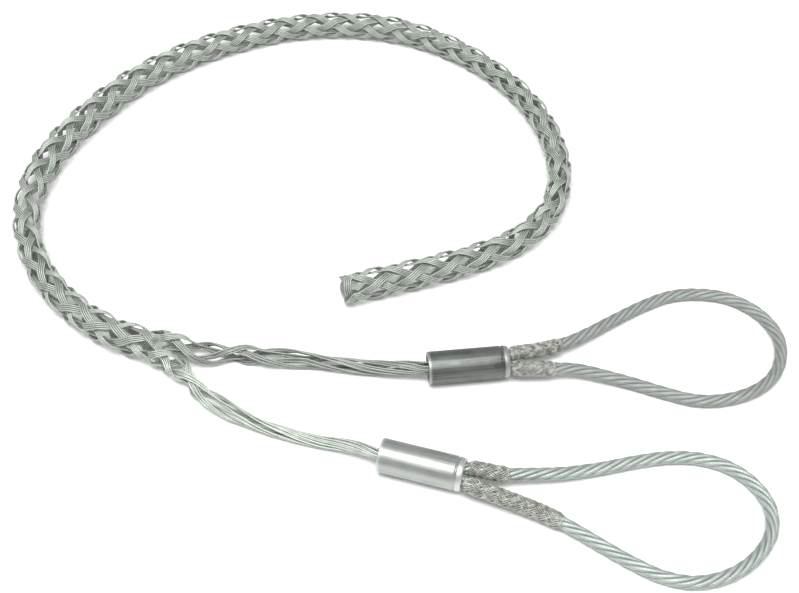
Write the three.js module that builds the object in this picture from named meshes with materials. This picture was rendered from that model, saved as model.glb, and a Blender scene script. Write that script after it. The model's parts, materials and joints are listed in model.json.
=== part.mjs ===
// Cable pulling grip: a tube woven from wire strands, open at one end, that divides into two legs.
// Each leg is pressed into a round ferrule together with the two ends of a wire rope eye.
// The grip lies on a flat surface. Lengths are in millimetres, angles in degrees, and +Z is up.
// The origin is the middle of the object's underside.

import * as THREE from 'three';

// Strands: each is flat, as wide as two wires side by side
const STRAND_WIDTH = 2.3;
const STRAND_THICKNESS = 1.15;
const CROSSING_GAP = 0.15; // half of the room between two strands where they cross

// Woven tube, from its open end to the place where it divides
const WIRES = 4; // each wire makes one loop at the open end and runs back twice
const CROSSING_PITCH = 7.85; // about this far from one crossing of a strand to its next one
const TUBE_WIDTHS = [
  [0, 13.1],
  [0.08, 12.6],
  [0.17, 11.2],
  [0.35, 11.0],
  [0.44, 12.8],
  [0.52, 12.2],
  [0.7, 13.8],
  [0.78, 13.4],
  [0.85, 11.6],
  [0.92, 12.4],
  [1, 13.8],
]; // share of the tube's length, and outer width there
const TUBE_ROUTE = [
  [-23, 5],
  [-7, 5],
  [12, 5],
  [34, 6],
  [57, 11],
  [76, 23],
  [88, 41],
  [94, 65],
  [93, 94],
  [83, 124],
  [66, 149],
  [46, 166],
  [22, 177],
  [-3, 182],
  [-29, 181],
  [-57, 175],
  [-84, 163],
  [-108, 145],
  [-128, 124],
  [-141, 100],
  [-145, 75],
  [-141, 50],
  [-131, 28],
  [-117, 10],
  [-98, -5],
];

// Loops at the open end: each is most of an ellipse that lies round the tube's edge
const LOOP_HALF_ANGLE = 57;
const LOOP_HALF_LENGTH = 3.2;
const LOOP_SWEEP = 125;
const LOOP_STEPS = 10;
const LOOP_SWAP = 40; // the loop goes from outside its neighbour to inside within this sweep

// Legs: plaited at first, then a bundle of strands with a long twist
const LEG_START_SHARE = 0.8; // of the tube's radius, from the tube's middle to the leg's
const SPLIT_SHARES = [0.7, 0.9]; // how far the strands have gone over to the leg at the split
const LEG_DROP = 24; // over this length a leg comes down from the tube to the ground
const LEG_RISE = 30; // and over this one it rises to its ferrule
const BUNDLE_START = 12; // after the last crossing
const BUNDLE_STEP = 8.5;
const BUNDLE_TWIST = 180;
const LEG_A_ROUTE = [
  [-87, -8],
  [-72, -13],
  [-52, -21],
  [-34, -29],
  [-15, -38],
];
const LEG_B_ROUTE = [
  [-95, -15],
  [-91, -24],
  [-87, -30],
  [-81, -38],
  [-73, -46],
  [-64, -53],
  [-52, -61],
  [-41, -68],
];
const LEG_A_CROSSINGS = [5, 17, 31, 46];
const LEG_B_CROSSINGS = [5, 11.5, 19, 34];
// Distance along the leg, and outer width there
const LEG_A_WIDTHS = [
  [0, 10.4],
  [32, 8.2],
  [50, 7.6],
  [62, 6.2],
  [100, 5.4],
];
const LEG_B_WIDTHS = [
  [0, 10.4],
  [21, 7.4],
  [38, 7.2],
  [50, 5.6],
  [75, 4.4],
];

// Wire rope of the eyes
const ROPE_DIAMETER = 5;
const ROPE_STRANDS = 6;
const ROPE_GROOVE = 0.4;
const ROPE_LAY = 32; // length of one whole turn of the rope's strands
const ROPE_STEP = 3.2;
const ROPE_GAP = 0.3; // between the two rope ends in a ferrule
const ROPE_DROP = 62; // over this length the rope comes down from the ferrule to the ground
const EYE_A_ROUTE = [
  [57, -46.5],
  [67, -44],
  [80, -40],
  [94, -36.5],
  [108, -35],
  [121, -38],
  [131, -44],
  [138.5, -55],
  [140, -67],
  [136, -77],
  [128, -85],
  [117, -89],
  [104, -89],
  [94, -86],
  [85, -80],
  [75, -72.5],
  [65, -66],
  [54, -60],
];
const EYE_B_ROUTE = [
  [20, -100],
  [32, -102.5],
  [46, -104],
  [60, -105],
  [73, -107],
  [84, -111],
  [93, -118],
  [98, -127],
  [99, -137],
  [95, -146],
  [88, -152],
  [79, -156],
  [69, -157.5],
  [59, -156],
  [50, -151],
  [42, -143],
  [35, -134.5],
  [28, -126],
  [20, -117.5],
];

// Ferrules: round tubes with a turned-in rim on the side of the eye
const FERRULE_LENGTH = 32;
const FERRULE_WALL = 1.1;
const FERRULE_FACETS = 24;
const FERRULE_CLEARANCE = 0.25; // between the ropes and the bore
const FERRULE_CHAMFER = 0.3;
const RIM_LENGTH = 2.2;
const RIM_DEPTH = 0.7;
const RIM_STEPS = 4;
const GROOVE_WIDTH = 1.2; // round the ferrule before its rim
const GROOVE_DEPTH = 0.3;
const FERRULE_A = { x: -1.7, y: -43.6, yaw: -11 };
const FERRULE_B = { x: -30.8, y: -76.5, yaw: -33 };
const FLARE = 5; // the strands part inside the ferrule within this length, to pass the rope ends
const ROPE_INSET = 6; // from the ferrule's entry to the rope ends
const STRAND_INSET = 3; // from the strands' ends to the eye side of the ferrule
const SEAT_GAP = 0.15; // between the strands and the ropes in the ferrule, and between two strands there

// Sleeves of braided wire over the rope beside the ferrules
const SLEEVE_WALL = 0.5;
const SLEEVE_CLEARANCE = 0.15;
const SLEEVE_KNOB = 0.22; // height of the knobs over the wall
const SLEEVE_KNOBS = 5; // round the sleeve
const SLEEVE_STEP = 2.4; // from one row of knobs to the next
const SLEEVE_START = 3.4; // from the ferrule to the sleeve
const SLEEVE_LEAD = 13; // the two sleeves run beside each other up to here
const SLEEVE_SPREAD = 0.9; // further apart there than where they start, each side
const SLEEVE_GAP = 0.3;
const SLEEVE_A_UPPER = 20;
const SLEEVE_A_LOWER = 15;
const SLEEVE_B_UPPER = 13;
const SLEEVE_B_LOWER = 36;

const CURVE_SAMPLES = 40; // between two points of a route

// Sizes that follow from those above
const strandFace = STRAND_WIDTH / 2; // width of a strand's flat faces, between its sloping edges
const lift = STRAND_THICKNESS / 2 + CROSSING_GAP;
const crossingAngle = 180 / WIRES;
const ropeRadius = ROPE_DIAMETER / 2;
const ropeOffset = (ROPE_DIAMETER + ROPE_GAP) / 2;
const boreRadius = ropeOffset + ropeRadius + FERRULE_CLEARANCE;
const ferruleRadius = boreRadius + FERRULE_WALL;
const ferruleHeight = ferruleRadius * Math.cos(Math.PI / FERRULE_FACETS);
const sleeveBore = (ropeRadius + SLEEVE_CLEARANCE) / Math.cos(Math.PI / (2 * SLEEVE_KNOBS));
const sleeveRadius = sleeveBore + SLEEVE_WALL + SLEEVE_KNOB;
const sleeveOffset = sleeveRadius + SLEEVE_GAP / 2;

const { clamp, degToRad, lerp, smoothstep } = THREE.MathUtils;

// Value at a place in a list of [place, value] pairs, on straight lines between them
function between(pairs, place) {
  const next = pairs.findIndex(([at]) => at >= place);
  if (next === -1) return pairs[pairs.length - 1][1];
  if (next === 0) return pairs[0][1];
  const [lowPlace, low] = pairs[next - 1];
  const [highPlace, high] = pairs[next];
  return lerp(low, high, (place - lowPlace) / (highPlace - lowPlace));
}

// A line over the ground: a smooth curve through flat route points, with a height along it
class Track {
  constructor(route, heightAt) {
    this.curve = new THREE.CatmullRomCurve3(route.map(([x, y]) => new THREE.Vector3(x, y, 0)));
    this.curve.arcLengthDivisions = CURVE_SAMPLES * (route.length - 1);
    this.lengths = this.curve.getLengths();
    this.length = this.curve.getLength();
    this.heightAt = heightAt;
  }

  // Distance along the line to one of its route points
  stationOf(index) {
    return this.lengths[index * CURVE_SAMPLES];
  }

  // Point at a distance along the line, moved to the left of it and upwards
  point(distance, left = 0, up = 0) {
    const share = clamp(distance / this.length, 0, 1);
    const along = this.curve.getTangentAt(share);
    const point = this.curve.getPointAt(share);
    point.x -= along.y * left;
    point.y += along.x * left;
    point.z = this.heightAt(distance) + up;
    return point;
  }

  // The same by radius and angle, from the left side of the line towards its top
  pointRound(distance, radius, angle) {
    const turn = degToRad(angle);
    return this.point(distance, radius * Math.cos(turn), radius * Math.sin(turn));
  }

  // That point, with the direction away from the line
  spotRound(distance, radius, angle) {
    const point = this.pointRound(distance, radius, angle);
    const outward = this.pointRound(distance, radius + 1, angle).sub(point);
    return { point, outward };
  }
}

function blend(first, second, share) {
  return {
    point: first.point.lerp(second.point, share),
    outward: first.outward.lerp(second.outward, share),
  };
}

// A path of straight pieces with one section at each point
class SectionPath extends THREE.Curve {
  constructor(points) {
    super();
    this.points = points;
  }

  get pieces() {
    return this.points.length - 1;
  }

  getPointAt(share, target = new THREE.Vector3()) {
    return target.copy(this.points[Math.round(share * this.pieces)]);
  }

  getTangentAt(share, target = new THREE.Vector3()) {
    const index = Math.round(share * this.pieces);
    const ahead = this.points[Math.min(index + 1, this.pieces)];
    const behind = this.points[Math.max(index - 1, 0)];
    return target.subVectors(ahead, behind).normalize();
  }
}

// Its sections are turned steadily by a twist per piece
class TwistedPath extends SectionPath {
  constructor(points, twist) {
    super(points);
    this.twist = twist;
  }

  computeFrenetFrames(segments, closed) {
    const frames = super.computeFrenetFrames(segments, closed);
    frames.tangents.forEach((tangent, index) => {
      const angle = degToRad(this.twist * index);
      frames.normals[index].applyAxisAngle(tangent, angle);
      frames.binormals[index].applyAxisAngle(tangent, angle);
    });
    return frames;
  }
}

// Its sections face outwards at each point, as the spots say
class FacedPath extends SectionPath {
  constructor(spots) {
    super(spots.map(({ point }) => point));
    this.spots = spots;
  }

  computeFrenetFrames(segments) {
    const tangents = this.spots.map((_, index) => this.getTangentAt(index / segments));
    const binormals = tangents.map((tangent, index) =>
      new THREE.Vector3().crossVectors(tangent, this.spots[index].outward).normalize(),
    );
    const normals = tangents.map((tangent, index) =>
      new THREE.Vector3().crossVectors(binormals[index], tangent),
    );
    return { tangents, normals, binormals };
  }
}

// Solid with one section along a path
function sweep(section, path) {
  const options = { steps: path.pieces, bevelEnabled: false, extrudePath: path };
  return new THREE.ExtrudeGeometry(section, options);
}

// Section whose corners lie in turn on an outer and an inner circle
function ridgedSection(corners, outer, inner) {
  const points = Array.from({ length: corners }, (_, index) => {
    const turn = (index / corners) * 2 * Math.PI;
    const radius = index % 2 ? inner : outer;
    return new THREE.Vector2(radius * Math.cos(turn), radius * Math.sin(turn));
  });
  return new THREE.Shape(points);
}

// Flat section with six corners, its thickness outwards and its width across
function flatSection(width, faceWidth, thickness) {
  const points = [
    [0, width / 2],
    [-thickness / 2, faceWidth / 2],
    [-thickness / 2, -faceWidth / 2],
    [0, -width / 2],
    [thickness / 2, -faceWidth / 2],
    [thickness / 2, faceWidth / 2],
  ];
  return new THREE.Shape(points.map(([outward, across]) => new THREE.Vector2(outward, across)));
}

// Place in a ferrule's own frame: along its axis from the strands' entry, and to the left of it
function inFerrule(ferrule, along, left = 0) {
  const yaw = degToRad(ferrule.yaw);
  return [
    ferrule.x + along * Math.cos(yaw) - left * Math.sin(yaw),
    ferrule.y + along * Math.sin(yaw) + left * Math.cos(yaw),
  ];
}

// Woven tube
const HALF = 0.5;
const QUARTER = 0.25;
const tube = new Track(TUBE_ROUTE, (distance) => strandReach(tubeRadius(distance) + lift));
const loopStart = STRAND_WIDTH / 2;
const loopEnd = loopStart + LOOP_HALF_LENGTH * (1 - Math.cos(degToRad(LOOP_SWEEP)));
const crossings = Math.round((tube.length - loopEnd) / CROSSING_PITCH);
const crossingPitch = (tube.length - loopEnd) / crossings;

function tubeWidth(distance) {
  return between(TUBE_WIDTHS, distance / tube.length);
}

// Radius of the strands' middle lines where they don't cross
function tubeRadius(distance) {
  return tubeWidth(distance) / 2 - lift - STRAND_THICKNESS / 2;
}

// How far the corners of a strand reach whose middle line has a radius
function strandReach(radius) {
  return Math.hypot(radius + STRAND_THICKNESS / 2, strandFace / 2);
}

function wireAngle(wire) {
  return ((wire + HALF) * 360) / WIRES;
}

// Strands of turn 1 climb to the left round the tube, and those of turn -1 to the right
function strandAngle(wire, turn, crossing) {
  return wireAngle(wire) + turn * crossingAngle * (crossing - 1);
}

// Outwards at one crossing and inwards at the next, and level for a quarter of the way beside each
function strandLift(turn, crossing) {
  return turn * lift * clamp(Math.SQRT2 * Math.cos(Math.PI * crossing), -1, 1);
}

function tubeSpot(wire, turn, crossing) {
  const distance = loopEnd + crossing * crossingPitch;
  const radius = tubeRadius(distance) + strandLift(turn, crossing);
  return tube.spotRound(distance, radius, strandAngle(wire, turn, crossing));
}

// Loop that joins the two strands of a wire round the edge of the open end
function loopSpots(wire) {
  const spots = [];
  for (let step = 1; step < LOOP_STEPS; step += 1) {
    const sweepAngle = lerp(-LOOP_SWEEP, LOOP_SWEEP, step / LOOP_STEPS);
    const distance = loopStart + LOOP_HALF_LENGTH * (1 - Math.cos(degToRad(sweepAngle)));
    const swap = 1 - 2 * smoothstep(sweepAngle, -LOOP_SWAP, LOOP_SWAP);
    const angle = wireAngle(wire) + LOOP_HALF_ANGLE * Math.sin(degToRad(sweepAngle));
    spots.push(tube.spotRound(distance, tubeRadius(distance) + lift * swap, angle));
  }
  return spots;
}

// Legs: the tube divides half a crossing before its end
const splitCrossing = crossings - HALF;
const splitDistance = tube.length - HALF * crossingPitch;
const legCrossingAngle = 2 * crossingAngle;
const strandEnd = FERRULE_LENGTH - STRAND_INSET;
// Place of a strand's middle line in the ferrule, over or under the groove between the two ropes
const slotSide = (STRAND_WIDTH + SEAT_GAP) / 2;
const slotHeight = ropeRadius + STRAND_THICKNESS / 2 + SEAT_GAP;

function makeLeg(side, route, widths, crossingPlaces, ferrule) {
  const offset = side * LEG_START_SHARE * tubeRadius(splitDistance);
  const start = tube.point(splitDistance, offset);
  const inside = [0, FLARE, strandEnd].map((along) => inFerrule(ferrule, along));
  const fullRoute = [[start.x, start.y], ...route, ...inside];
  const lastCrossing = crossingPlaces[crossingPlaces.length - 1];
  const bundleStart = lastCrossing + BUNDLE_START;
  const plait = [
    [lerp(lastCrossing, bundleStart, HALF), lift],
    [bundleStart, 0],
  ];
  const counts = [
    [0, 0],
    ...crossingPlaces.map((distance, index) => [distance, index + HALF]),
    [bundleStart, crossingPlaces.length],
  ];
  const places = counts.map(([distance, count]) => [count, distance]);
  const leg = { middleAngle: side > 0 ? 0 : 180 };
  leg.outerAt = (distance) => (between(widths, distance) - STRAND_THICKNESS) / 2;
  leg.radiusAt = (distance) => leg.outerAt(distance) - between(plait, distance);
  leg.countAt = (distance) => between(counts, distance);
  leg.track = new Track(fullRoute, (distance) => {
    const ground = strandReach(leg.outerAt(distance));
    const fall = 1 - smoothstep(distance, 0, LEG_DROP);
    const rise = smoothstep(distance, leg.entry - LEG_RISE, leg.entry);
    return ground + (start.z - ground) * fall + (ferruleHeight - ground) * rise;
  });
  leg.entry = leg.track.stationOf(route.length + 1);
  leg.bundleStart = bundleStart;
  leg.plaitStations = crossingPlaces.flatMap((_, index) =>
    [index + HALF - QUARTER, index + HALF + QUARTER].map((count) => between(places, count)),
  );
  return leg;
}

const legA = makeLeg(1, LEG_A_ROUTE, LEG_A_WIDTHS, LEG_A_CROSSINGS, FERRULE_A);
const legB = makeLeg(-1, LEG_B_ROUTE, LEG_B_WIDTHS, LEG_B_CROSSINGS, FERRULE_B);

// Strand from the split to its end in the ferrule
function legSpots(wire, turn) {
  const splitAngle = strandAngle(wire, turn, splitCrossing);
  const leg = Math.cos(degToRad(splitAngle)) > 0 ? legA : legB;
  const legAngle = leg.middleAngle + 2 * (splitAngle - leg.middleAngle);
  const plaited = (distance) => {
    const count = leg.countAt(distance);
    const radius = leg.radiusAt(distance) + strandLift(turn, splitCrossing + count);
    return leg.track.spotRound(distance, radius, legAngle + turn * legCrossingAngle * count);
  };
  const [firstCrossing, ...laterStations] = leg.plaitStations;
  const [splitShare, crossingShare] = SPLIT_SHARES;
  const spots = [
    blend(tubeSpot(wire, turn, splitCrossing), plaited(0), splitShare),
    blend(tubeSpot(wire, turn, splitCrossing + QUARTER), plaited(firstCrossing), crossingShare),
    ...laterStations.map(plaited),
  ];
  const bundleAngle = legAngle + turn * legCrossingAngle * leg.countAt(leg.bundleStart);
  const bundleSteps = Math.round((leg.entry - leg.bundleStart) / BUNDLE_STEP);
  for (let step = 0; step <= bundleSteps; step += 1) {
    const share = step / bundleSteps;
    const distance = lerp(leg.bundleStart, leg.entry, share);
    const angle = bundleAngle + BUNDLE_TWIST * share;
    spots.push(leg.track.spotRound(distance, leg.radiusAt(distance), angle));
  }
  const endAngle = degToRad(bundleAngle + BUNDLE_TWIST);
  const left = Math.sign(Math.cos(endAngle)) * slotSide;
  const up = Math.sign(Math.sin(endAngle)) * slotHeight;
  for (const along of [FLARE, strandEnd]) {
    const point = leg.track.point(leg.entry + along, left, up);
    spots.push({ point, outward: new THREE.Vector3(0, 0, up) });
  }
  return spots;
}

// Whole wire: from one ferrule along the tube to its loop, and back along the tube to a ferrule
function strandSpots(wire, turn) {
  const spots = [tubeSpot(wire, turn, 0)];
  for (let crossing = QUARTER; crossing < splitCrossing; crossing += HALF) {
    spots.push(tubeSpot(wire, turn, crossing));
  }
  return [...spots, ...legSpots(wire, turn)];
}

function makeWire(wire) {
  const spots = [...strandSpots(wire, 1).reverse(), ...loopSpots(wire), ...strandSpots(wire, -1)];
  return sweep(flatSection(STRAND_WIDTH, strandFace, STRAND_THICKNESS), new FacedPath(spots));
}

// Rope eyes
function makeEyeTrack(ferrule, route) {
  const outgoing = [
    [ROPE_INSET, ropeOffset],
    [FERRULE_LENGTH, ropeOffset],
    [FERRULE_LENGTH + SLEEVE_START, sleeveOffset],
    [FERRULE_LENGTH + SLEEVE_LEAD, sleeveOffset + SLEEVE_SPREAD],
  ];
  const upper = outgoing.map(([along, left]) => inFerrule(ferrule, along, left));
  const lower = outgoing.map(([along, left]) => inFerrule(ferrule, along, -left)).reverse();
  const track = new Track([...upper, ...route, ...lower], (distance) => {
    const fromFace = Math.min(distance, track.length - distance) - (FERRULE_LENGTH - ROPE_INSET);
    const drop = smoothstep(fromFace, 0, ROPE_DROP);
    return lerp(ferruleHeight, ropeRadius, drop);
  });
  return track;
}

function makeRope(track) {
  const steps = Math.round(track.length / ROPE_STEP);
  const points = Array.from({ length: steps + 1 }, (_, index) =>
    track.point((index / steps) * track.length),
  );
  const twist = (360 * track.length) / (steps * ROPE_LAY);
  const section = ridgedSection(2 * ROPE_STRANDS, ropeRadius, ropeRadius - ROPE_GROOVE);
  return sweep(section, new TwistedPath(points, twist));
}

// Sleeve round the rope from one distance along it to another, knobbed like a braid
function makeSleeve(track, start, end) {
  const rows = Math.round((end - start) / SLEEVE_STEP);
  const row = (end - start) / rows;
  const wall = sleeveBore + SLEEVE_WALL;
  const outside = [];
  const inside = [];
  for (let index = 0; index <= rows; index += 1) {
    outside.push(new THREE.Vector2(wall, index * row));
    inside.unshift(new THREE.Vector2(sleeveBore, index * row));
  }
  const profile = [...outside, ...inside, outside[0]];
  const geometry = new THREE.LatheGeometry(profile, 2 * SLEEVE_KNOBS);
  const position = geometry.attributes.position;
  for (let index = 0; index < position.count; index += 1) {
    const [across, height, forward] = [position.getX(index), position.getY(index), position.getZ(index)];
    const turn = Math.atan2(across, forward);
    const radius = Math.hypot(across, forward);
    const knob = Math.cos(SLEEVE_KNOBS * turn) * Math.cos((Math.PI * height) / row);
    const raised = radius > (sleeveBore + wall) / 2 ? radius + SLEEVE_KNOB * knob : radius;
    const { x, y, z } = track.point(start + height, raised * Math.cos(turn), raised * Math.sin(turn));
    position.setXYZ(index, x, y, z);
  }
  return geometry;
}

// Ferrule with its entry at the origin and its axis along X, one facet of it facing down
function makeFerrule() {
  const profile = [
    new THREE.Vector2(boreRadius, 0),
    new THREE.Vector2(ferruleRadius - FERRULE_CHAMFER, 0),
    new THREE.Vector2(ferruleRadius, FERRULE_CHAMFER),
    new THREE.Vector2(ferruleRadius, FERRULE_LENGTH - RIM_LENGTH - GROOVE_WIDTH),
    new THREE.Vector2(ferruleRadius - GROOVE_DEPTH, FERRULE_LENGTH - RIM_LENGTH - GROOVE_WIDTH / 2),
  ];
  for (let step = 0; step <= RIM_STEPS; step += 1) {
    const turn = (step / RIM_STEPS) * (Math.PI / 2);
    const radius = ferruleRadius - RIM_DEPTH * (1 - Math.cos(turn));
    const along = FERRULE_LENGTH - RIM_LENGTH * (1 - Math.sin(turn));
    profile.push(new THREE.Vector2(radius, along));
  }
  profile.push(new THREE.Vector2(boreRadius, FERRULE_LENGTH), profile[0]);
  const halfFacet = Math.PI / FERRULE_FACETS;
  return new THREE.LatheGeometry(profile, FERRULE_FACETS, halfFacet).rotateZ(-Math.PI / 2);
}

// Finishes
function finish(color, roughness, metalness) {
  return new THREE.MeshStandardMaterial({ color, roughness, metalness });
}

const galvanised = () => finish(0xb4bcb3, 0.45, 0.8);
const ropeSteel = () => finish(0xa3ada6, 0.5, 0.8);
const sleeveSteel = () => finish(0x9c9b93, 0.6, 0.6);
const pressedMetal = () => finish(0x8f918f, 0.4, 0.85);
const satinAluminium = () => finish(0xb6b9b5, 0.35, 0.85);

const grip = new THREE.Group();

function add(name, geometry, material) {
  geometry.computeVertexNormals();
  const mesh = new THREE.Mesh(geometry, material);
  mesh.name = name;
  grip.add(mesh);
  return mesh;
}

for (let wire = 0; wire < WIRES; wire += 1) {
  add(`mesh_wire_${wire + 1}`, makeWire(wire), galvanised());
}

function addEye(letter, ferrule, route, upperSleeve, lowerSleeve, material) {
  const track = makeEyeTrack(ferrule, route);
  const tubeMesh = add(`ferrule_${letter}`, makeFerrule(), material);
  tubeMesh.position.set(ferrule.x, ferrule.y, ferruleHeight);
  tubeMesh.rotation.z = degToRad(ferrule.yaw);
  add(`eye_rope_${letter}`, makeRope(track), ropeSteel());
  const start = FERRULE_LENGTH - ROPE_INSET + SLEEVE_START;
  const upper = makeSleeve(track, start, start + upperSleeve);
  const lower = makeSleeve(track, track.length - start - lowerSleeve, track.length - start);
  add(`sleeve_${letter}_upper`, upper, sleeveSteel());
  add(`sleeve_${letter}_lower`, lower, sleeveSteel());
}

addEye('a', FERRULE_A, EYE_A_ROUTE, SLEEVE_A_UPPER, SLEEVE_A_LOWER, pressedMetal());
addEye('b', FERRULE_B, EYE_B_ROUTE, SLEEVE_B_UPPER, SLEEVE_B_LOWER, satinAluminium());

// Origin at the middle of the underside
const box = new THREE.Box3().setFromObject(grip, true);
const middle = box.getCenter(new THREE.Vector3());
grip.position.set(-middle.x, -middle.y, -box.min.z);

export default grip;
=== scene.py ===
"""Dresses the cable pulling grip: twisted strands, laid rope, braided sleeves and pressed ferrules.

Lengths are in metres and angles in degrees. Routes are measured from a point of their own, ROUTE_ORIGIN,
which is worked out from the frame, and every shape follows the same formulas as the solids.
"""
import json
import math

import bpy
import numpy as np
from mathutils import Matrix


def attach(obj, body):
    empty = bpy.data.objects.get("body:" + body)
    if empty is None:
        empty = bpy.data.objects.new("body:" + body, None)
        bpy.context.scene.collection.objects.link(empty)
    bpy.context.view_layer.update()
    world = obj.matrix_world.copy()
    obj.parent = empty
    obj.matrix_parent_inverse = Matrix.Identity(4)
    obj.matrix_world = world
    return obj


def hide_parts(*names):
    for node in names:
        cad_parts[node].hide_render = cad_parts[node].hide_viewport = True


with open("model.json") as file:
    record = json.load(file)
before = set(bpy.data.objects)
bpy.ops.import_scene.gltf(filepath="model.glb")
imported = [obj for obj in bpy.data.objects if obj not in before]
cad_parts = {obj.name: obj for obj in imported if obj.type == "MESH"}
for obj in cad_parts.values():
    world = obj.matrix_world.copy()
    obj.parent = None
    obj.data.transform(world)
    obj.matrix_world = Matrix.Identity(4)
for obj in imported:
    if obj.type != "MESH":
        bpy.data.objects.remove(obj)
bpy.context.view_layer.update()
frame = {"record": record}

# Photograph
PHOTO_WIDTH = 799
PHOTO_FOCAL_PIXELS = 1200
CAMERA_DISTANCE = 0.504
CAMERA_ELEVATION = 50
CAMERA_AZIMUTH = -17
SENSOR_WIDTH = 36
CLIP_START = 0.01

# Strands of the woven tube: flat ones in the solids, and bands of twisted wires side by side in the look
STRAND_WIDTH = 0.0023
STRAND_THICKNESS = 0.00115
CROSSING_GAP = 0.00015  # half of the room between two strands where they cross
BAND_WIRES = 4
BAND_WIRE_DIAMETER = 0.00082
BAND_TUBE_SPACING = 0.0008  # from one wire of a band to the next
BAND_LEG_SPACING = 0.00065
BAND_LEG_STAGGER = 0.00025  # in a leg every other wire stands out, and those between lie deeper
BAND_WIRE_LOBES = 5
BAND_LOBE_RADIUS = 0.00018
BAND_LOBE_POINTS = 2
BAND_WIRE_LAY = 0.006
BAND_RING_STEP = 0.0008
TUBE_CREST_DARKENING = 0.62  # how far the crests are darkened towards the grooves' painted shade colour, from 0 for none to 1 as dark as a groove
LEG_A_CREST_DARKENING = 0.78
# painted light: leg B keeps undarkened crests, lighter than the rest, standing in for a leg that is lit
# more brightly
LEG_B_CREST_DARKENING = 0

# Woven tube
WIRES = 4  # each makes one loop at the open end and runs back twice
CROSSING_PITCH = 0.00785  # about this far from one crossing of a strand to its next one
TUBE_WIDTHS = [  # share of the tube's length, and width there
    (0, 0.0131),
    (0.08, 0.0126),
    (0.17, 0.0112),
    (0.35, 0.011),
    (0.44, 0.0128),
    (0.52, 0.0122),
    (0.7, 0.0138),
    (0.78, 0.0134),
    (0.85, 0.0116),
    (0.92, 0.0124),
    (1, 0.0138),
]
TUBE_ROUTE = [
    (-0.023, 0.005),
    (-0.007, 0.005),
    (0.012, 0.005),
    (0.034, 0.006),
    (0.057, 0.011),
    (0.076, 0.023),
    (0.088, 0.041),
    (0.094, 0.065),
    (0.093, 0.094),
    (0.083, 0.124),
    (0.066, 0.149),
    (0.046, 0.166),
    (0.022, 0.177),
    (-0.003, 0.182),
    (-0.029, 0.181),
    (-0.057, 0.175),
    (-0.084, 0.163),
    (-0.108, 0.145),
    (-0.128, 0.124),
    (-0.141, 0.1),
    (-0.145, 0.075),
    (-0.141, 0.05),
    (-0.131, 0.028),
    (-0.117, 0.01),
    (-0.098, -0.005),
]

# Loops at the open end
LOOP_HALF_ANGLE = 57
LOOP_HALF_LENGTH = 0.0032
LOOP_SWEEP = 125
LOOP_STEPS = 10
LOOP_SWAP = 40  # the loop goes from outside its neighbour to inside within this sweep

# Legs
LEG_START_SHARE = 0.8  # of the tube's radius, from the tube's middle to the leg's
SPLIT_SHARES = (0.7, 0.9)  # how far the strands have gone over to the leg at the split
LEG_DROP = 0.024  # over this length a leg comes down from the tube to the ground
LEG_RISE = 0.03  # and over this one it rises to its ferrule
BUNDLE_START = 0.012  # after the last crossing
BUNDLE_STEP = 0.0085
BUNDLE_TWIST = 180
LEG_A_ROUTE = [
    (-0.087, -0.008),
    (-0.072, -0.013),
    (-0.052, -0.021),
    (-0.034, -0.029),
    (-0.015, -0.038),
]
LEG_B_ROUTE = [
    (-0.095, -0.015),
    (-0.091, -0.024),
    (-0.087, -0.03),
    (-0.081, -0.038),
    (-0.073, -0.046),
    (-0.064, -0.053),
    (-0.052, -0.061),
    (-0.041, -0.068),
]
LEG_A_CROSSINGS = [0.005, 0.017, 0.031, 0.046]
LEG_B_CROSSINGS = [0.005, 0.0115, 0.019, 0.034]
LEG_A_WIDTHS = [
    (0, 0.0104),
    (0.032, 0.0082),
    (0.05, 0.0076),
    (0.062, 0.0062),
    (0.1, 0.0054),
]
LEG_B_WIDTHS = [
    (0, 0.0104),
    (0.021, 0.0074),
    (0.038, 0.0072),
    (0.05, 0.0056),
    (0.075, 0.0044),
]

# Wire rope of the eyes
ROPE_DIAMETER = 0.005
ROPE_STRANDS = 6
ROPE_LAY = 0.032
ROPE_STRAND_RADIUS = 0.00105
ROPE_WIRES = 9
ROPE_WIRE_RADIUS = 0.00029
ROPE_WIRE_POINTS = 3
ROPE_WIRE_LAY = 0.013
ROPE_DEEP = 0.2  # depth of the darkest groove, as a share of the rope's radius; the painted shade towards the rope's middle is full there
ROPE_RING_STEP = 0.00095
ROPE_PATH_STEP = 0.002
ROPE_GAP = 0.0003  # between the two rope ends in a ferrule
ROPE_DROP = 0.062  # over this length the rope comes down from the ferrule to the ground
EYE_A_ROUTE = [
    (0.057, -0.0465),
    (0.067, -0.044),
    (0.08, -0.04),
    (0.094, -0.0365),
    (0.108, -0.035),
    (0.121, -0.038),
    (0.131, -0.044),
    (0.1385, -0.055),
    (0.14, -0.067),
    (0.136, -0.077),
    (0.128, -0.085),
    (0.117, -0.089),
    (0.104, -0.089),
    (0.094, -0.086),
    (0.085, -0.08),
    (0.075, -0.0725),
    (0.065, -0.066),
    (0.054, -0.06),
]
EYE_B_ROUTE = [
    (0.02, -0.1),
    (0.032, -0.1025),
    (0.046, -0.104),
    (0.06, -0.105),
    (0.073, -0.107),
    (0.084, -0.111),
    (0.093, -0.118),
    (0.098, -0.127),
    (0.099, -0.137),
    (0.095, -0.146),
    (0.088, -0.152),
    (0.079, -0.156),
    (0.069, -0.1575),
    (0.059, -0.156),
    (0.05, -0.151),
    (0.042, -0.143),
    (0.035, -0.1345),
    (0.028, -0.126),
    (0.02, -0.1175),
]

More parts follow.
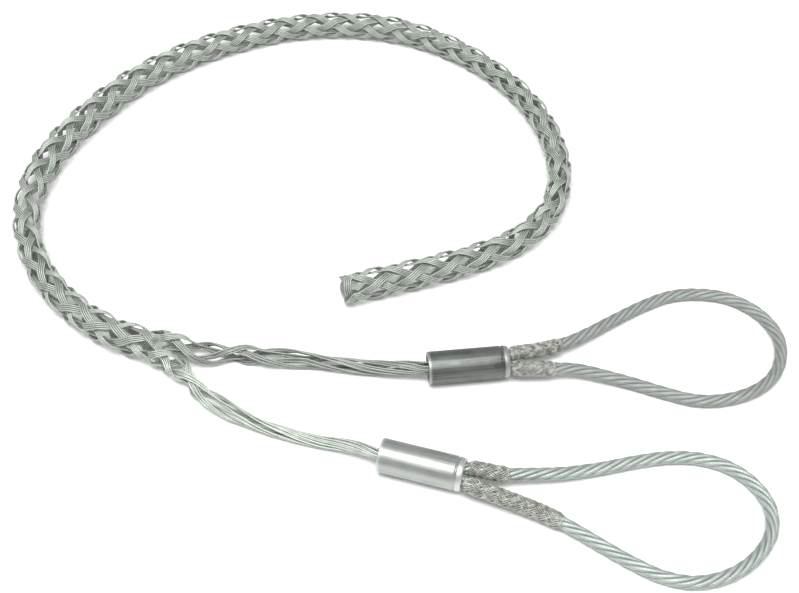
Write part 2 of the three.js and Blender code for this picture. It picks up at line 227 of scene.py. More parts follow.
# Ferrules
FERRULE_LENGTH = 0.032
FERRULE_WALL = 0.0011
FERRULE_FACETS = 24
FERRULE_CLEARANCE = 0.00025  # between the ropes and the bore
FERRULE_CHAMFER = 0.0003
FERRULE_SIDES = 128
BODY_STEPS = 40
CURVE_STEPS = 8  # in the chamfer, the groove and the rim
RIM_LENGTH = 0.0022
RIM_DEPTH = 0.0007
GROOVE_WIDTH = 0.0012  # round the ferrule before its rim
GROOVE_DEPTH = 0.0003
ENTRY_HIGHLIGHT_LENGTH = 0.0008  # length of the painted highlight on the edge where the strands go in
FERRULE_A = {"x": -0.0017, "y": -0.0436, "yaw": -11}
FERRULE_B = {"x": -0.0308, "y": -0.0765, "yaw": -33}
FLARE = 0.005  # the strands part inside the ferrule within this length, to pass the rope ends
ROPE_INSET = 0.006  # from the ferrule's entry to the rope ends
STRAND_INSET = 0.003  # from the strands' ends to the eye side of the ferrule
SEAT_GAP = 0.00015  # between the strands and the ropes in the ferrule, and between two strands there

# Sleeves
SLEEVE_WALL = 0.0005
SLEEVE_CLEARANCE = 0.00015
SLEEVE_KNOB = 0.00022  # height of the solid's knobs over its wall
SLEEVE_KNOBS = 5  # round the sleeve, one for each band of wires
SLEEVE_STEP = 0.0024  # from one row of knobs to the next
SLEEVE_START = 0.0034  # from the ferrule to the solid sleeve
SLEEVE_LEAD = 0.013  # the two sleeves run beside each other up to here
SLEEVE_SPREAD = 0.0009  # further apart there than where they start, each side
SLEEVE_GAP = 0.0003
SLEEVES_A = {"upper": 0.02, "lower": 0.015}
SLEEVES_B = {"upper": 0.013, "lower": 0.036}
SLEEVE_WIRES = 3
BRAID_WIRE = 0.0005
BRAID_REACH = 0.0026  # the braid goes on this far from the solid towards the ferrule
BRAID_RING_STEP = 0.0006
BRAID_SIDES = 6
BRAID_TAPER = 0.0025  # over this length at each end the braid closes on the rope

# Tones
FINE_SHARE = 0.5  # how dark the painted shade in the grooves between single wires is beside that between strands
CREST_LIMIT = 0.25  # depths up to this one keep the crest's colour
PATCH_STOPS = (0.35, 0.65)
PATCH_SCALE = 260
SLEEVE_PATCH_SCALE = 600
SHEEN_SCALE = 1500
SPECK_SCALE = 3200
SPECK_DETAIL = 2
SPECK_BUMP = 0.00004
SMUDGE_STOPS = (0.3, 0.7)
SMUDGE_SCALE = 130
MARK_STOPS = (0.42, 0.62)
MARK_LENGTH = 0.03  # along the ferrule
MARK_WIDTH = 0.0009
MARK_BUMP = 0.00006
METAL_DETAIL = 4
FERRULE_METALLIC = 0.9
BLACK = (0, 0, 0)
WHITE = (1, 1, 1)

# Floor and light
FLOOR_HALF = 3
FLOOR_HEIGHT = -0.00005
FLOOR_COLOR = (0.98, 0.98, 0.98)
FLOOR_ROUGHNESS = 0.9
LAMP_PLACE = (-0.15, -0.25, 1.1)
LAMP_SIZE = (0.9, 0.45)
LAMP_POWER = 13
WORLD_STRENGTH = 0.55

# Sizes that follow from those above
strand_face = STRAND_WIDTH / 2
lift = STRAND_THICKNESS / 2 + CROSSING_GAP
crossing_angle = 180 / WIRES
rope_radius = ROPE_DIAMETER / 2
rope_offset = (ROPE_DIAMETER + ROPE_GAP) / 2
bore_radius = rope_offset + rope_radius + FERRULE_CLEARANCE
ferrule_radius = bore_radius + FERRULE_WALL
ferrule_height = ferrule_radius * math.cos(math.pi / FERRULE_FACETS)
sleeve_bore = (rope_radius + SLEEVE_CLEARANCE) / math.cos(math.pi / (2 * SLEEVE_KNOBS))
sleeve_radius = sleeve_bore + SLEEVE_WALL + SLEEVE_KNOB
sleeve_offset = sleeve_radius + SLEEVE_GAP / 2

# Curves
CURVE_SAMPLES = 40  # between two points of a route
POINTS_PER_PIECE = 12  # between two spots of a strand
HALF = 0.5
QUARTER = 0.25


def smooth_curve(points, per_piece):
    """Dense points on a smooth curve through the given ones, with steps by the root of the distances.

    Columns after the third, such as a direction at each point, go along with the place.
    """
    points = np.asarray(points, float)
    before = 2 * points[0] - points[1]
    after = 2 * points[-1] - points[-2]
    line = np.vstack([before, points, after])
    steps = np.sqrt(np.linalg.norm(np.diff(line[:, :3], axis=0), axis=1))[:, None]
    p0, p1, p2, p3 = line[:-3], line[1:-2], line[2:-1], line[3:]
    d0, d1, d2 = steps[:-2], steps[1:-1], steps[2:]
    start = ((p1 - p0) / d0 - (p2 - p0) / (d0 + d1) + (p2 - p1) / d1) * d1
    end = ((p2 - p1) / d1 - (p3 - p1) / (d1 + d2) + (p3 - p2) / d2) * d1
    share = np.linspace(0, 1, per_piece, endpoint=False)[None, :, None]
    square = -3 * p1 + 3 * p2 - 2 * start - end
    cube = 2 * p1 - 2 * p2 + start + end
    curve = p1[:, None] + start[:, None] * share + square[:, None] * share**2 + cube[:, None] * share**3
    return np.vstack([curve.reshape(-1, points.shape[1]), points[-1]])


def distances(points):
    """Distance along a line to each of its points."""
    return np.concatenate([[0], np.cumsum(np.linalg.norm(np.diff(points, axis=0), axis=1))])


def smoothstep(value, low, high):
    share = np.clip((value - low) / (high - low), 0, 1)
    return share * share * (3 - 2 * share)


class Track:
    """A line over the ground: a smooth curve through flat route points, with a height along it."""

    def __init__(self, route, height_at):
        self.curve = smooth_curve(route, CURVE_SAMPLES)
        self.along = distances(self.curve)
        self.length = self.along[-1]
        slope = np.gradient(self.curve, axis=0)
        self.slope = slope / np.linalg.norm(slope, axis=1)[:, None]
        self.height_at = height_at

    def station_of(self, index):
        return self.along[index * CURVE_SAMPLES]

    def point(self, distance, left=0, up=0):
        x, y = (np.interp(distance, self.along, self.curve[:, k]) for k in (0, 1))
        ahead_x, ahead_y = (np.interp(distance, self.along, self.slope[:, k]) for k in (0, 1))
        z = self.height_at(distance) + up
        return np.stack(np.broadcast_arrays(x - ahead_y * left, y + ahead_x * left, z), axis=-1)

    def point_round(self, distance, radius, angle):
        turn = np.radians(angle)
        return self.point(distance, radius * np.cos(turn), radius * np.sin(turn))

    def spot_round(self, distance, radius, angle):
        """That point, followed by the direction away from the line."""
        point = self.point_round(distance, radius, angle)
        outward = self.point_round(distance, radius + 1, angle) - point
        return np.concatenate([point, outward], axis=-1)


def in_ferrule(ferrule, along, left=0):
    """Place in a ferrule's own frame: along its axis from the strands' entry, and to the left of it."""
    yaw = math.radians(ferrule["yaw"])
    x = ferrule["x"] + along * math.cos(yaw) - left * math.sin(yaw)
    y = ferrule["y"] + along * math.sin(yaw) + left * math.cos(yaw)
    return (x, y)


def find_route_origin():
    """Where the routes' own origin lies: the middle of ferrule A has a mount in the record."""
    mount = next(m for m in frame["record"]["mounts"] if m["name"] == "rest_ferrule_a")
    middle = in_ferrule(FERRULE_A, FERRULE_LENGTH / 2)
    return np.array([mount["pos_m"][0] - middle[0], mount["pos_m"][1] - middle[1], 0])


ROUTE_ORIGIN = find_route_origin()


# Woven tube

def tube_width(distance):
    shares, widths = zip(*TUBE_WIDTHS)
    return np.interp(distance / tube.length, shares, widths)


def tube_radius(distance):
    return tube_width(distance) / 2 - lift - STRAND_THICKNESS / 2


def strand_reach(radius):
    """How far the corners of a strand reach whose middle line has a radius."""
    return np.hypot(radius + STRAND_THICKNESS / 2, strand_face / 2)


tube = Track(TUBE_ROUTE, lambda distance: strand_reach(tube_radius(distance) + lift))
loop_start = STRAND_WIDTH / 2
loop_end = loop_start + LOOP_HALF_LENGTH * (1 - math.cos(math.radians(LOOP_SWEEP)))
crossings = round((tube.length - loop_end) / CROSSING_PITCH)
crossing_pitch = (tube.length - loop_end) / crossings


def wire_angle(wire):
    return (wire + HALF) * 360 / WIRES


def strand_angle(wire, turn, crossing):
    return wire_angle(wire) + turn * crossing_angle * (crossing - 1)


def strand_lift(turn, crossing):
    """Outwards at one crossing and inwards at the next, and level for a quarter of the way beside each."""
    return turn * lift * np.clip(math.sqrt(2) * np.cos(np.pi * crossing), -1, 1)


def tube_spot(wire, turn, crossing):
    distance = loop_end + crossing * crossing_pitch
    radius = tube_radius(distance) + strand_lift(turn, crossing)
    return tube.spot_round(distance, radius, strand_angle(wire, turn, crossing))


def loop_spots(wire):
    sweep_angle = np.linspace(-LOOP_SWEEP, LOOP_SWEEP, LOOP_STEPS + 1)[1:-1]
    distance = loop_start + LOOP_HALF_LENGTH * (1 - np.cos(np.radians(sweep_angle)))
    swap = 1 - 2 * smoothstep(sweep_angle, -LOOP_SWAP, LOOP_SWAP)
    angle = wire_angle(wire) + LOOP_HALF_ANGLE * np.sin(np.radians(sweep_angle))
    return tube.spot_round(distance, tube_radius(distance) + lift * swap, angle)


# Legs

split_crossing = crossings - HALF
split_distance = tube.length - HALF * crossing_pitch
leg_crossing_angle = 2 * crossing_angle
strand_end = FERRULE_LENGTH - STRAND_INSET
slot_side = (STRAND_WIDTH + SEAT_GAP) / 2
slot_height = rope_radius + STRAND_THICKNESS / 2 + SEAT_GAP


class Leg:
    """One leg: a track from the split to the end of the strands in its ferrule."""

    def __init__(self, side, route, widths, crossing_places, ferrule):
        start = tube.point(split_distance, side * LEG_START_SHARE * tube_radius(split_distance))
        inside = [in_ferrule(ferrule, along) for along in (0, FLARE, strand_end)]
        self.start_height = start[2]
        self.middle_angle = 0 if side > 0 else 180
        self.bundle_start = crossing_places[-1] + BUNDLE_START
        self.places = [0, *crossing_places, self.bundle_start]
        self.counts = [0, *[index + HALF for index in range(len(crossing_places))], len(crossing_places)]
        self.plait_end = (crossing_places[-1] + self.bundle_start) / 2
        self.width_places, self.widths = zip(*widths)
        self.track = Track([(start[0], start[1]), *route, *inside], self.height_at)
        self.entry = self.track.station_of(len(route) + 1)
        stations = [count + step for count in self.counts[1:-1] for step in (-QUARTER, QUARTER)]
        self.plait_stations = np.interp(stations, self.counts, self.places)

    def outer_at(self, distance):
        return (np.interp(distance, self.width_places, self.widths) - STRAND_THICKNESS) / 2

    def radius_at(self, distance):
        return self.outer_at(distance) - np.interp(distance, [self.plait_end, self.bundle_start], [lift, 0])

    def count_at(self, distance):
        return np.interp(distance, self.places, self.counts)

    def height_at(self, distance):
        ground = strand_reach(self.outer_at(distance))
        fall = 1 - smoothstep(distance, 0, LEG_DROP)
        rise = smoothstep(distance, self.entry - LEG_RISE, self.entry)
        return ground + (self.start_height - ground) * fall + (ferrule_height - ground) * rise


leg_a = Leg(1, LEG_A_ROUTE, LEG_A_WIDTHS, LEG_A_CROSSINGS, FERRULE_A)
leg_b = Leg(-1, LEG_B_ROUTE, LEG_B_WIDTHS, LEG_B_CROSSINGS, FERRULE_B)


def leg_spots(wire, turn):
    """Middle line of a strand from the split to its end in the ferrule."""
    split_angle = strand_angle(wire, turn, split_crossing)
    leg = leg_a if math.cos(math.radians(split_angle)) > 0 else leg_b
    leg_angle = leg.middle_angle + 2 * (split_angle - leg.middle_angle)

    def plaited(distance):
        count = leg.count_at(distance)
        radius = leg.radius_at(distance) + strand_lift(turn, split_crossing + count)
        return leg.track.spot_round(distance, radius, leg_angle + turn * leg_crossing_angle * count)

    first_crossing, *later_stations = leg.plait_stations
    split_share, crossing_share = SPLIT_SHARES
    split = tube_spot(wire, turn, split_crossing) * (1 - split_share) + plaited(0) * split_share
    first = tube_spot(wire, turn, split_crossing + QUARTER) * (1 - crossing_share)
    first += plaited(first_crossing) * crossing_share
    spots = [split, first, *[plaited(station) for station in later_stations]]
    bundle_angle = leg_angle + turn * leg_crossing_angle * leg.count_at(leg.bundle_start)
    bundle_steps = round((leg.entry - leg.bundle_start) / BUNDLE_STEP)
    for share in np.linspace(0, 1, bundle_steps + 1):
        distance = leg.bundle_start + (leg.entry - leg.bundle_start) * share
        angle = bundle_angle + BUNDLE_TWIST * share
        spots.append(leg.track.spot_round(distance, leg.radius_at(distance), angle))
    end_angle = math.radians(bundle_angle + BUNDLE_TWIST)
    left = math.copysign(slot_side, math.cos(end_angle))
    up = math.copysign(slot_height, math.sin(end_angle))
    for along in (FLARE, strand_end):
        point = leg.track.point(leg.entry + along, left, up)
        spots.append(np.array([*point, 0, 0, math.copysign(1, up)]))
    return spots


def strand_spots(wire, turn):
    stations = [0, *np.arange(QUARTER, split_crossing, HALF)]
    return [*[tube_spot(wire, turn, station) for station in stations], *leg_spots(wire, turn)]


def wire_spots(wire):
    """Points of a wire's middle line, each with the direction that its flat side faces."""
    return np.array([*strand_spots(wire, 1)[::-1], *loop_spots(wire), *strand_spots(wire, -1)])


# Meshes

def carried_frames(points):
    """Two side directions at each point of a line, carried along it without twist."""
    ahead = np.gradient(points, axis=0)
    ahead /= np.linalg.norm(ahead, axis=1)[:, None]
    side = np.cross(ahead[0], (0, 0, 1))
    sides = np.empty_like(points)
    for index, direction in enumerate(ahead):
        side = side - direction * side.dot(direction)
        side = side / math.sqrt(side.dot(side))
        sides[index] = side
    return sides, np.cross(ahead, sides)


def resample(spots, step):
    """The same line with its points at even steps."""
    along = distances(spots[:, :3])
    places = np.linspace(0, along[-1], round(along[-1] / step) + 1)
    return np.stack([np.interp(places, along, column) for column in spots.T], axis=1)


def lobed_section(lobes, radius, lobe_radius, points_per_lobe):
    """Outline of wires laid round a core: radius and angle of its points, and how deep each lies."""
    turn = np.arange(lobes * points_per_lobe) / points_per_lobe
    off = (turn - np.round(turn)) * (2 * np.pi / lobes)
    centre = radius - lobe_radius
    across = centre * np.sin(np.abs(off))
    reach = centre * np.cos(off) + np.sqrt(np.maximum(lobe_radius**2 - across**2, 0))
    depth = (radius - reach) / (radius - reach.min())
    return reach, turn * (2 * np.pi / lobes), depth


def round_section(radius, sides):
    return np.full(sides, radius), np.arange(sides) * 2 * np.pi / sides, np.zeros(sides)


class Builder:
    """Collects closed tubes for one mesh, with a depth at each vertex: 0 on a crest and 1 in a groove."""

    def __init__(self):
        self.vertices = []
        self.faces = []
        self.depths = []
        self.count = 0

    def add_tube(self, points, section, lay=math.inf, axis=None, deep=1, beside=None, crest_darkening=0):
        """Section swept along a line, turned once in the length of the lay.

        With an axis, the depth at a vertex also grows from the outside of the rope to its middle, by the
        share of the distance that the deepest groove has. With a direction in which other wires lie
        beside it, the depth also grows towards them. The material paints shade by this depth. Where crest
        darkening is given, the crests take part of that painted shade too.
        """
        reach, angles, depth = section
        sides, ups = carried_frames(points)
        twist = distances(points) * 2 * np.pi / lay
        turned = angles[None, :] + twist[:, None]
        across = (np.cos(turned) * reach)[:, :, None] * sides[:, None, :]
        along_up = (np.sin(turned) * reach)[:, :, None] * ups[:, None, :]
        rings = points[:, None, :] + across + along_up
        rows, columns = rings.shape[:2]
        index = self.count + np.arange(rows * columns).reshape(rows, columns)
        following = np.roll(index, -1, axis=1)
        quads = np.stack([index[:-1], following[:-1], following[1:], index[1:]], axis=-1).reshape(-1, 4)
        self.vertices.append(rings.reshape(-1, 3))
        depths = np.tile(depth, (rows, 1))
        if axis is not None:
            # the depth sets painted shade: it grows towards the rope's middle and, below, towards
            # neighbouring wires
            inward = 1 - np.linalg.norm(rings - axis[:, None, :], axis=2) / rope_radius
            depths = np.maximum(depths * FINE_SHARE, np.clip(inward / deep, 0, 1))
        if beside is not None:
            sideways = np.abs(np.einsum("rcd,rd->rc", rings - points[:, None, :], beside)) / reach.max()
            depths = np.maximum(depths * FINE_SHARE, np.clip(2 * sideways - 1, 0, 1))
        depths = np.maximum(depths, np.broadcast_to(crest_darkening, rows)[:, None])
        self.depths.append(depths.ravel())
        self.faces += quads.tolist()
        self.faces.append(index[0, ::-1].tolist())
        self.faces.append(index[-1].tolist())
        self.count += rows * columns

    def make(self, name, material, attribute="groove"):
        mesh = bpy.data.meshes.new(name)
        vertices = np.vstack(self.vertices) + ROUTE_ORIGIN
        mesh.from_pydata(vertices.tolist(), [], self.faces)
        values = mesh.attributes.new(attribute, "FLOAT", "POINT")
        values.data.foreach_set("value", np.concatenate(self.depths))
        mesh.polygons.foreach_set("use_smooth", [True] * len(mesh.polygons))
        mesh.materials.append(material)
        piece = bpy.data.objects.new(name, mesh)
        bpy.context.scene.collection.objects.link(piece)
        return piece


# Materials

class Nodes:
    """Short calls for building a node material on the surface's own coordinates."""

    def __init__(self, name):
        self.material = bpy.data.materials.new(name)
        self.material.use_nodes = True
        self.tree = self.material.node_tree
        self.shader = self.tree.nodes["Principled BSDF"]
        self.place = self.tree.nodes.new("ShaderNodeTexCoord").outputs["Object"]

    def link(self, source, target):
        self.tree.links.new(source, target)

    def noise(self, scale, detail=3, stretch=None):
        node = self.tree.nodes.new("ShaderNodeTexNoise")
        node.inputs["Scale"].default_value = scale
        node.inputs["Detail"].default_value = detail
        place = self.place if stretch is None else self.stretched(stretch)
        self.link(place, node.inputs["Vector"])
        return node.outputs["Fac"]

    def stretched(self, stretch):
        """The surface's coordinates turned by a yaw, then scaled along and across it."""
        yaw, along, across = stretch
        node = self.tree.nodes.new("ShaderNodeMapping")
        node.vector_type = "TEXTURE"
        node.inputs["Rotation"].default_value = (0, 0, math.radians(yaw))
        node.inputs["Scale"].default_value = (along, across, across)
        self.link(self.place, node.inputs["Vector"])
        return node.outputs["Vector"]

    def ramp(self, source, stops):
        """Colour between two stops, each a position and its colour."""
        node = self.tree.nodes.new("ShaderNodeValToRGB")
        for element, (position, color) in zip(node.color_ramp.elements, stops):
            element.position = position
            element.color = (*color, 1)
        self.link(source, node.inputs["Fac"])
        return node.outputs["Color"]

    def mix(self, factor, first, second):
        node = self.tree.nodes.new("ShaderNodeMix")
        node.data_type = "RGBA"
        self.link(factor, node.inputs["Factor"])
        colors = [socket for socket in node.inputs if socket.type == "RGBA"]
        for value, socket in zip((first, second), colors):
            if isinstance(value, tuple):
                socket.default_value = (*value, 1)
            else:
                self.link(value, socket)
        return next(socket for socket in node.outputs if socket.type == "RGBA")

    def span(self, source, low, high):
        node = self.tree.nodes.new("ShaderNodeMapRange")
        node.inputs["To Min"].default_value = low
        node.inputs["To Max"].default_value = high
        self.link(source, node.inputs["Value"])
        return node.outputs["Result"]

    def attribute(self, name):
        node = self.tree.nodes.new("ShaderNodeAttribute")
        node.attribute_name = name
        return node.outputs["Fac"]

    def bump(self, source, distance):
        node = self.tree.nodes.new("ShaderNodeBump")
        node.inputs["Distance"].default_value = distance
        self.link(source, node.inputs["Height"])
        self.link(node.outputs["Normal"], self.shader.inputs["Normal"])


def wire_material(name, light, dark, groove, roughness, metallic, patch_scale=PATCH_SCALE):
    """Dull zinc-coated wire: patches of two tones, fine specks, and painted shade down in the grooves."""
    nodes = Nodes(name)
    patches = nodes.ramp(nodes.noise(patch_scale), zip(PATCH_STOPS, (dark, light)))
    # painted shade: the groove colour darkens the wire by the depth attribute, down between wires and
    # towards the rope's middle
    groove_shade_mask = nodes.ramp(nodes.attribute("groove"), [(CREST_LIMIT, BLACK), (1, WHITE)])
    color = nodes.mix(groove_shade_mask, patches, groove)
    nodes.link(color, nodes.shader.inputs["Base Color"])
    nodes.link(nodes.span(nodes.noise(SHEEN_SCALE), *roughness), nodes.shader.inputs["Roughness"])
    nodes.shader.inputs["Metallic"].default_value = metallic
    nodes.bump(nodes.noise(SPECK_SCALE, SPECK_DETAIL), SPECK_BUMP)
    return nodes.material


def ferrule_material(name, yaw, highlight_color, light, dark, roughness):
    """Pressed metal with scratches and drawing marks along it, darker smudges, and painted highlights on
    its ends.
    """
    nodes = Nodes(name)
    lines = nodes.noise(1, METAL_DETAIL, (yaw, MARK_LENGTH, MARK_WIDTH))
    base = nodes.ramp(nodes.noise(SMUDGE_SCALE, METAL_DETAIL), zip(SMUDGE_STOPS, (dark, light)))
    marks = nodes.ramp(lines, zip(MARK_STOPS, (BLACK, WHITE)))
    # painted highlight: the entry edge and the rim are lighter, standing in for light caught on their
    # rounded edges
    painted_highlight = nodes.mix(nodes.attribute("painted_highlight"), nodes.mix(marks, base, light), highlight_color)
    nodes.link(painted_highlight, nodes.shader.inputs["Base Color"])
    nodes.link(nodes.span(lines, *roughness), nodes.shader.inputs["Roughness"])
    nodes.shader.inputs["Metallic"].default_value = FERRULE_METALLIC
    nodes.bump(lines, MARK_BUMP)
    return nodes.material


zinc = wire_material(
    "galvanised_strand",
    light=(0.86, 0.92, 0.85),
    dark=(0.68, 0.74, 0.67),
    groove=(0.27, 0.295, 0.265),
    roughness=(0.45, 0.65),
    metallic=0.65,
)
worn_zinc = wire_material(
    "worn_galvanised_rope",
    light=(0.45, 0.48, 0.45),
    dark=(0.36, 0.39, 0.365),
    groove=(0.24, 0.26, 0.245),
    roughness=(0.55, 0.7),
    metallic=0.6,
)
clean_zinc = wire_material(
    "clean_galvanised_rope",
    light=(0.6, 0.66, 0.62),
    dark=(0.46, 0.52, 0.48),
    groove=(0.24, 0.27, 0.25),
    roughness=(0.45, 0.65),
    metallic=0.7,
)
sleeve_zinc = wire_material(
    "braided_wire",
    light=(0.62, 0.64, 0.59),
    dark=(0.3, 0.305, 0.275),
    groove=(0.2, 0.19, 0.17),
    roughness=(0.45, 0.65),
    metallic=0.7,
    patch_scale=SLEEVE_PATCH_SCALE,
)
dark_metal = ferrule_material(
    "pressed_metal",
    FERRULE_A["yaw"],
    highlight_color=(0.4, 0.42, 0.4),
    light=(0.2, 0.215, 0.2),
    dark=(0.09, 0.095, 0.09),
    roughness=(0.42, 0.58),
)
light_metal = ferrule_material(
    "satin_aluminium",
    FERRULE_B["yaw"],
    highlight_color=(0.6, 0.63, 0.6),
    light=(0.44, 0.465, 0.44),
    dark=(0.32, 0.34, 0.32),
    roughness=(0.35, 0.5),
)


def seat(piece, material_slot, *nodes):
    """A finished piece: it takes the place of its solids and rides with them."""
    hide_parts(*nodes)
    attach(piece, "root")
    return piece


# Camera

def make_camera():
    """The photograph's view, aimed at the routes' own origin."""
    elevation = math.radians(CAMERA_ELEVATION)
    azimuth = math.radians(CAMERA_AZIMUTH)
    flat = CAMERA_DISTANCE * math.cos(elevation)
    data = bpy.data.cameras.new("camera")
    data.sensor_width = SENSOR_WIDTH
    data.lens = PHOTO_FOCAL_PIXELS * SENSOR_WIDTH / PHOTO_WIDTH
    data.clip_start = CLIP_START
    camera = bpy.data.objects.new("camera", data)
    camera.location = (
        ROUTE_ORIGIN[0] + flat * math.sin(azimuth),
        ROUTE_ORIGIN[1] - flat * math.cos(azimuth),
        CAMERA_DISTANCE * math.sin(elevation),
    )
    camera.rotation_euler = (math.pi / 2 - elevation, 0, azimuth)
    bpy.context.scene.collection.objects.link(camera)
    bpy.context.scene.camera = camera


make_camera()


# Rope eyes

def make_eye_track(ferrule, route):
    outgoing = [
        (ROPE_INSET, rope_offset),
        (FERRULE_LENGTH, rope_offset),
        (FERRULE_LENGTH + SLEEVE_START, sleeve_offset),
        (FERRULE_LENGTH + SLEEVE_LEAD, sleeve_offset + SLEEVE_SPREAD),
    ]
    upper = [in_ferrule(ferrule, along, left) for along, left in outgoing]
    lower = [in_ferrule(ferrule, along, -left) for along, left in outgoing][::-1]

    def height_at(distance):
        from_end = np.minimum(distance, track.length - distance)
        drop = smoothstep(from_end - (FERRULE_LENGTH - ROPE_INSET), 0, ROPE_DROP)
        return ferrule_height + (rope_radius - ferrule_height) * drop

    track = Track([*upper, *route, *lower], height_at)
    return track


def make_rope(letter, track, material):
    """Six strands laid round a core, each of them fine wires laid the other way."""
    places = np.linspace(0, track.length, round(track.length / ROPE_RING_STEP) + 1)
    axis = track.point(places)
    builder = Builder()
    section = lobed_section(ROPE_WIRES, ROPE_STRAND_RADIUS, ROPE_WIRE_RADIUS, ROPE_WIRE_POINTS)
    for index in range(ROPE_STRANDS):
        turn = index * 360 / ROPE_STRANDS - 360 * places / ROPE_LAY
        line = track.point_round(places, rope_radius - ROPE_STRAND_RADIUS, turn)
        builder.add_tube(line, section, ROPE_WIRE_LAY, axis, ROPE_DEEP)
    piece = seat(builder.make(f"wire_rope_{letter}", material), "eye_rope", f"eye_rope_{letter}")
    path_places = np.linspace(0, track.length, round(track.length / ROPE_PATH_STEP) + 1)
    path = track.point(path_places) + ROUTE_ORIGIN


eye_a = make_eye_track(FERRULE_A, EYE_A_ROUTE)
eye_b = make_eye_track(FERRULE_B, EYE_B_ROUTE)
make_rope("a", eye_a, worn_zinc)
make_rope("b", eye_b, clean_zinc)


# Mesh wires

def share_in_leg(line, leg):
    """How far each point of a strand has gone over from the tube to a leg."""
    from_leg = np.linalg.norm(line[:, None, :2] - leg.track.curve[None, :, :], axis=2)
    station = leg.track.along[from_leg.argmin(axis=1)]
    return smoothstep(station, 0, LEG_DROP) * (from_leg.min(axis=1) < leg.widths[0] / 2)


def make_wire(wire):
    """Twisted wires side by side, which face outwards as one band, and lie closer together in the legs."""
    spots = resample(smooth_curve(wire_spots(wire), POINTS_PER_PIECE), BAND_RING_STEP)
    line, outward = spots[:, :3], spots[:, 3:]
    across = np.cross(np.gradient(line, axis=0), outward)
    across /= np.linalg.norm(across, axis=1)[:, None]
    builder = Builder()
    section = lobed_section(BAND_WIRE_LOBES, BAND_WIRE_DIAMETER / 2, BAND_LOBE_RADIUS, BAND_LOBE_POINTS)
    in_a, in_b = share_in_leg(line, leg_a), share_in_leg(line, leg_b)
    # crests darkened region by region, with leg B left lightest as painted light
    crest_darkening = TUBE_CREST_DARKENING + in_a * (LEG_A_CREST_DARKENING - TUBE_CREST_DARKENING) + in_b * (LEG_B_CREST_DARKENING - TUBE_CREST_DARKENING)
    in_leg = (in_a + in_b)[:, None]
    spacing = BAND_TUBE_SPACING + in_leg * (BAND_LEG_SPACING - BAND_TUBE_SPACING)
    for index in range(BAND_WIRES):
        off = (index - (BAND_WIRES - 1) / 2) * spacing * across
        stagger = (-1) ** index * BAND_LEG_STAGGER * in_leg * outward
        builder.add_tube(line + off + stagger, section, BAND_WIRE_LAY, beside=across, crest_darkening=crest_darkening)
    piece = builder.make(f"twisted_strand_{wire + 1}", zinc)
    seat(piece, "mesh_strand", f"mesh_wire_{wire + 1}")


for wire in range(WIRES):
    make_wire(wire)


# Sleeves

def make_sleeve(name, track, start, end):
    """Bands of wires that cross over and under each other round the rope, closer to it at both ends."""
    rows = round((end - start) / SLEEVE_STEP)
    places = np.linspace(start, end, round((end - start) / BRAID_RING_STEP) + 1)
    count = rows * (places - start) / (end - start)
    from_end = np.minimum(places - start, end - places)
    loose = smoothstep(from_end, 0, BRAID_TAPER)
    section = round_section(BRAID_WIRE / 2, BRAID_SIDES)
    builder = Builder()
    for turn in (1, -1):
        radius = rope_radius + BRAID_WIRE / 2 * (loose * (1 + turn * np.cos(np.pi * count)) - (1 - loose))
        for band in range(SLEEVE_KNOBS):
            for wire in range(SLEEVE_WIRES):
                off = (wire - (SLEEVE_WIRES - 1) / 2) * 360 / SLEEVE_KNOBS / (SLEEVE_WIRES + 1)
                angle = band * 360 / SLEEVE_KNOBS + turn * count * 180 / SLEEVE_KNOBS + off
                builder.add_tube(track.point_round(places, radius, angle), section)
    seat(builder.make(name + "_braid", sleeve_zinc), "sleeve_wire", name)


def make_sleeves(letter, track, lengths):
    start = FERRULE_LENGTH - ROPE_INSET + SLEEVE_START
    make_sleeve(f"sleeve_{letter}_upper", track, start - BRAID_REACH, start + lengths["upper"])
    far = track.length - start
    make_sleeve(f"sleeve_{letter}_lower", track, far - lengths["lower"], far + BRAID_REACH)


make_sleeves("a", eye_a, SLEEVES_A)
make_sleeves("b", eye_b, SLEEVES_B)


# Ferrules

def ferrule_profile():
    """Radius and place along the axis, round the wall's section from the bore's entry and back."""
    turns = np.linspace(0, np.pi / 2, CURVE_STEPS + 1)
    radius = ferrule_radius
    points = [(bore_radius, 0)]
    for t in turns:
        points.append((radius - FERRULE_CHAMFER * (1 - math.sin(t)), FERRULE_CHAMFER * (1 - math.cos(t))))
    groove_half = GROOVE_WIDTH / 2
    groove = FERRULE_LENGTH - RIM_LENGTH - groove_half
    for place in np.linspace(2 * FERRULE_CHAMFER, groove - groove_half, BODY_STEPS):
        points.append((radius, place))
    for t in np.linspace(-1, 1, CURVE_STEPS + 1)[1:]:
        depth = GROOVE_DEPTH * (1 + math.cos(math.pi * t)) / 2
        points.append((radius - depth, groove + groove_half * t))
    for t in turns[1:]:
        place = FERRULE_LENGTH - RIM_LENGTH * (1 - math.sin(t))
        points.append((radius - RIM_DEPTH * (1 - math.cos(t)), place))
    points.append((bore_radius, FERRULE_LENGTH))
    return points


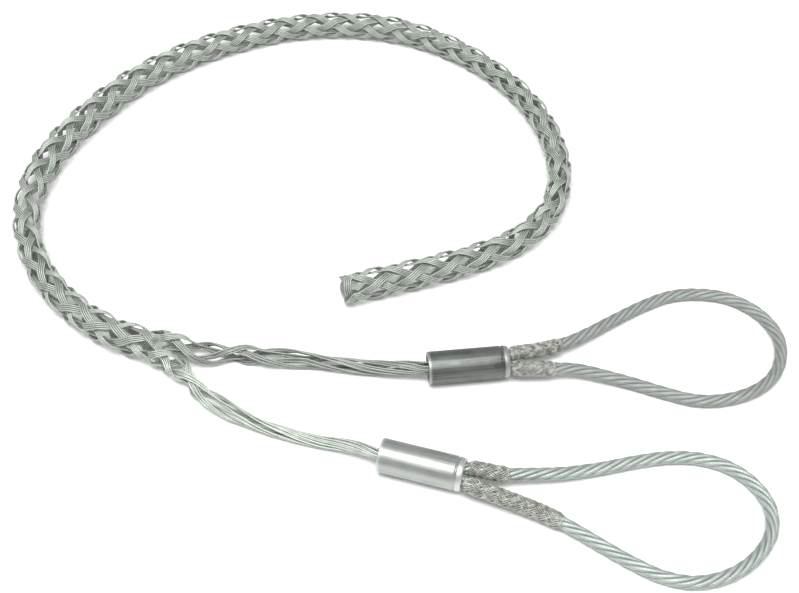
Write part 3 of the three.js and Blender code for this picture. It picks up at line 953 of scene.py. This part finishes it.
def make_ferrule(letter, ferrule, material):
    profile = np.array(ferrule_profile())
    turn = np.arange(FERRULE_SIDES) * 2 * np.pi / FERRULE_SIDES
    yaw = math.radians(ferrule["yaw"])
    ahead = np.array([math.cos(yaw), math.sin(yaw), 0])
    side = np.array([-math.sin(yaw), math.cos(yaw), 0])
    up = np.array([0, 0, 1])
    centre = np.array([ferrule["x"], ferrule["y"], ferrule_height])
    radii = profile[:, 0][:, None, None]
    around = np.cos(turn)[None, :, None] * side + np.sin(turn)[None, :, None] * up
    rings = centre + profile[:, 1][:, None, None] * ahead + radii * around
    rings[:, :, 2] = np.maximum(rings[:, :, 2], 0)
    rows, columns = rings.shape[:2]
    index = np.arange(rows * columns).reshape(rows, columns)
    across = np.roll(index, -1, axis=1)
    below = np.roll(index, -1, axis=0)
    corner = np.roll(across, -1, axis=0)
    quads = np.stack([index, across, corner, below], axis=-1).reshape(-1, 4)
    builder = Builder()
    builder.vertices.append(rings.reshape(-1, 3))
    place = profile[:, 1]
    # painted highlight on the entry edge and on the rim
    painted_highlight = (place < ENTRY_HIGHLIGHT_LENGTH) | (place > FERRULE_LENGTH - RIM_LENGTH)
    builder.depths.append(np.repeat(painted_highlight.astype(float), columns))
    builder.faces = quads.tolist()
    return builder.make(f"pressed_ferrule_{letter}", material, "painted_highlight")


seat(make_ferrule("a", FERRULE_A, dark_metal), "ferrule_dark", "ferrule_a")
seat(make_ferrule("b", FERRULE_B, light_metal), "ferrule_light", "ferrule_b")


# Floor and light

def make_floor():
    corners = [(-1, -1), (1, -1), (1, 1), (-1, 1)]
    places = [(x * FLOOR_HALF, y * FLOOR_HALF, FLOOR_HEIGHT) for x, y in corners]
    mesh = bpy.data.meshes.new("floor")
    mesh.from_pydata(places, [], [(0, 1, 2, 3)])
    nodes = Nodes("pale_floor")
    nodes.shader.inputs["Base Color"].default_value = (*FLOOR_COLOR, 1)
    nodes.shader.inputs["Roughness"].default_value = FLOOR_ROUGHNESS
    nodes.shader.inputs["Specular IOR Level"].default_value = 0
    mesh.materials.append(nodes.material)
    floor = bpy.data.objects.new("floor", mesh)
    bpy.context.scene.collection.objects.link(floor)


def make_lamp(name, place, size, power):
    data = bpy.data.lights.new(name, "AREA")
    data.shape = "RECTANGLE"
    data.size, data.size_y = size
    data.energy = power
    lamp = bpy.data.objects.new(name, data)
    lamp.location = place
    direction = -lamp.location.normalized()
    lamp.rotation_euler = direction.to_track_quat("-Z", "Y").to_euler()
    bpy.context.scene.collection.objects.link(lamp)


def make_world():
    world = bpy.data.worlds.new("world")
    world.use_nodes = True
    background = world.node_tree.nodes["Background"]
    background.inputs["Color"].default_value = (*WHITE, 1)
    background.inputs["Strength"].default_value = WORLD_STRENGTH
    bpy.context.scene.world = world


make_floor()
make_lamp("overhead", LAMP_PLACE, LAMP_SIZE, LAMP_POWER)
make_world()
bpy.context.scene.view_settings.view_transform = "Standard"
